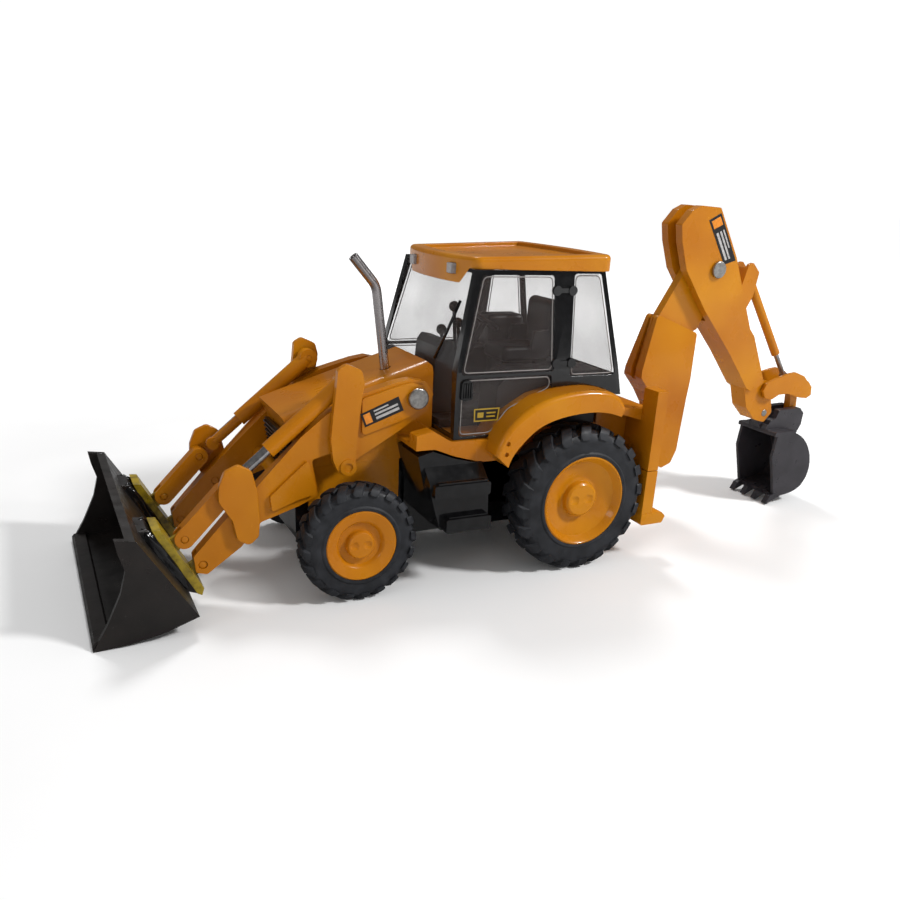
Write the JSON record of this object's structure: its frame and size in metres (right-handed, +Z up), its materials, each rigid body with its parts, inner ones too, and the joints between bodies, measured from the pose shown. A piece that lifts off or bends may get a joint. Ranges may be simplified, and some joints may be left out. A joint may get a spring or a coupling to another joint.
{
  "type": "toy backhoe loader",
  "caption": "Die-cast toy backhoe loader with a lifting front bucket, tilting linkage, rolling wheels, glazed cab, sliding stabiliser legs and a jointed rear digging arm.",
  "frame": {"origin": "on the ground, under the middle of the whole model in length and width", "axes": "+Z up, +X towards the rear (the digging arm), +Y towards the right-hand side of the vehicle"},
  "size_m": [0.1636, 0.0468, 0.066],
  "materials": {
    "yellow_enamel": "gloss orange-yellow enamel over zinc casting",
    "tyre_rubber": "matte blue-black moulded rubber",
    "black_gloss": "gloss black",
    "grille_dark": "matte dark grey",
    "smoked_glazing": "clear, faintly smoked plastic",
    "interior_dark": "satin dark grey",
    "plated_steel": "plated, slightly dull",
    "exhaust_metal": "dull chrome",
    "lamp_grey": "gloss grey",
    "bucket_dark": "semi-gloss brown-black",
    "coupling_yellow_green": "gloss yellow-green"
  },
  "bodies": {
    "vehicle": {"chassis_base": "black_gloss", "base_screws": "plated_steel", "body_casting": "yellow_enamel", "radiator_grille": "grille_dark", "loader_pivot_rivets": "plated_steel", "exhaust_stack": "exhaust_metal", "cab_glazing": "smoked_glazing", "cab_frame": "black_gloss", "door_hardware_left": "black_gloss", "door_hardware_right": "black_gloss", "cab_roof": "yellow_enamel", "roof_lights": "lamp_grey", "cab_interior": "interior_dark", "driver_seat": "interior_dark", "control_console": "interior_dark", "steering_wheel": "interior_dark", "control_levers": "interior_dark", "rear_frame": "yellow_enamel", "kingpost_pin": "plated_steel"},
    "front_wheels": {"front_axle": "plated_steel", "front_rim_left": "yellow_enamel", "front_rim_right": "yellow_enamel", "front_tyre_left": "tyre_rubber", "front_tyre_right": "tyre_rubber"},
    "rear_wheels": {"rear_axle": "plated_steel", "rear_rim_left": "yellow_enamel", "rear_rim_right": "yellow_enamel", "rear_tyre_left": "tyre_rubber", "rear_tyre_right": "tyre_rubber"},
    "left_stabiliser": {"stabiliser_leg_left": "yellow_enamel"},
    "right_stabiliser": {"stabiliser_leg_right": "yellow_enamel"},
    "loader_arms": {"loader_arm_left": "yellow_enamel", "loader_arm_right": "yellow_enamel", "loader_cross_tube": "yellow_enamel"},
    "front_bucket": {"loader_bucket": "bucket_dark", "coupling_plate_left": "coupling_yellow_green", "coupling_plate_right": "coupling_yellow_green", "coupling_pins": "plated_steel"},
    "tip_levers": {"tip_lever_left": "yellow_enamel", "tip_lever_right": "yellow_enamel"},
    "tip_links": {"tip_link_left": "yellow_enamel", "tip_link_right": "yellow_enamel"},
    "tip_rams": {"tip_ram_cylinder_left": "yellow_enamel", "tip_ram_cylinder_right": "yellow_enamel"},
    "tip_rods": {"tip_ram_rod_left": "plated_steel", "tip_ram_rod_right": "plated_steel"},
    "swing_post": {"kingpost": "yellow_enamel"},
    "boom_arm": {"boom": "yellow_enamel", "boom_pin": "plated_steel"},
    "dipper_arm": {"dipper": "yellow_enamel", "dipper_rivet": "plated_steel", "dipper_tip_pin": "plated_steel"},
    "dig_bucket": {"digging_bucket": "bucket_dark", "bucket_link_pin": "plated_steel"},
    "dig_rocker": {"bucket_rocker": "yellow_enamel"},
    "dig_link": {"bucket_link": "yellow_enamel"},
    "dig_ram": {"bucket_ram_cylinder": "yellow_enamel"},
    "dig_rod": {"bucket_ram_rod": "plated_steel"}
  },
  "joints": [
    {"name": "front_wheel_roll", "type": "hinge", "parent": "vehicle", "child": "front_wheels", "pos_m": [-0.0385, 0, 0.01035], "axis": [0, 1, 0], "continuous": true},
    {"name": "rear_wheel_roll", "type": "hinge", "parent": "vehicle", "child": "rear_wheels", "pos_m": [0.0049, 0, 0.01393], "axis": [0, 1, 0], "continuous": true},
    {"name": "left_stabiliser_slide", "type": "slide", "parent": "vehicle", "child": "left_stabiliser", "axis": [0, 0, -1], "range_m": [0, 0.007]},
    {"name": "right_stabiliser_slide", "type": "slide", "parent": "vehicle", "child": "right_stabiliser", "axis": [0, 0, -1], "range_m": [0, 0.007]},
    {"name": "loader_lift", "type": "hinge", "parent": "vehicle", "child": "loader_arms", "pos_m": [-0.0255, 0, 0.033], "axis": [0, 1, 0], "range_deg": [0, 50]},
    {"name": "bucket_tilt", "type": "hinge", "parent": "loader_arms", "child": "front_bucket", "pos_m": [-0.0632, 0, 0.0069], "axis": [0, 1, 0], "range_deg": [-25, 20]},
    {"name": "tip_lever_turn", "type": "hinge", "parent": "loader_arms", "child": "tip_levers", "pos_m": [-0.0564, 0, 0.0139], "axis": [0, 1, 0], "range_deg": [-25, 20]},
    {"name": "tip_link_turn", "type": "hinge", "parent": "tip_levers", "child": "tip_links", "pos_m": [-0.059, 0, 0.0187], "axis": [0, 1, 0], "range_deg": [-20, 25]},
    {"name": "tip_ram_turn", "type": "hinge", "parent": "loader_arms", "child": "tip_rams", "pos_m": [-0.038, 0, 0.0361], "axis": [0, 1, 0], "range_deg": [-4, 5]},
    {"name": "tip_rod_slide", "type": "slide", "parent": "tip_rams", "child": "tip_rods", "axis": [-0.773, 0, -0.6344], "range_m": [-0.0021, 0.0026]},
    {"name": "boom_swing", "type": "hinge", "parent": "vehicle", "child": "swing_post", "pos_m": [0.0255, 0, 0.0189], "axis": [0, 0, 1], "range_deg": [-60, 60]},
    {"name": "boom_lift", "type": "hinge", "parent": "swing_post", "child": "boom_arm", "pos_m": [0.0385, 0, 0.0154], "axis": [0, 1, 0], "range_deg": [-8, 40]},
    {"name": "dipper_reach", "type": "hinge", "parent": "boom_arm", "child": "dipper_arm", "pos_m": [0.0459, 0, 0.0538], "axis": [0, 1, 0], "range_deg": [-45, 4]},
    {"name": "dig_bucket_tilt", "type": "hinge", "parent": "dipper_arm", "child": "dig_bucket", "pos_m": [0.0676, 0, 0.0218], "axis": [0, 1, 0], "range_deg": [-30, 30]},
    {"name": "dig_rocker_turn", "type": "hinge", "parent": "dipper_arm", "child": "dig_rocker", "pos_m": [0.0669, 0, 0.0276], "axis": [0, 1, 0], "range_deg": [-30, 30]},
    {"name": "dig_link_turn", "type": "hinge", "parent": "dig_rocker", "child": "dig_link", "pos_m": [0.0775, 0, 0.0266], "axis": [0, 1, 0], "range_deg": [-30, 30]},
    {"name": "dig_ram_turn", "type": "hinge", "parent": "dipper_arm", "child": "dig_ram", "pos_m": [0.0574, 0, 0.0526], "axis": [0, 1, 0], "range_deg": [-3, 3]},
    {"name": "dig_rod_slide", "type": "slide", "parent": "dig_ram", "child": "dig_rod", "axis": [0.5856, 0, -0.8106], "range_m": [-0.0037, 0.0037]}
  ],
  "couplings": [
    {"joint": "tip_lever_turn", "follows": "bucket_tilt", "ratio": 1},
    {"joint": "tip_link_turn", "follows": "bucket_tilt", "ratio": -1},
    {"joint": "tip_ram_turn", "follows": "bucket_tilt", "ratio": -0.168},
    {"joint": "tip_rod_slide", "follows": "bucket_tilt", "m_per_rad": -0.00567},
    {"joint": "dig_rocker_turn", "follows": "dig_bucket_tilt", "ratio": 1},
    {"joint": "dig_link_turn", "follows": "dig_bucket_tilt", "ratio": -1},
    {"joint": "dig_ram_turn", "follows": "dig_bucket_tilt", "ratio": 0.0715},
    {"joint": "dig_rod_slide", "follows": "dig_bucket_tilt", "m_per_rad": 0.00678}
  ]
}
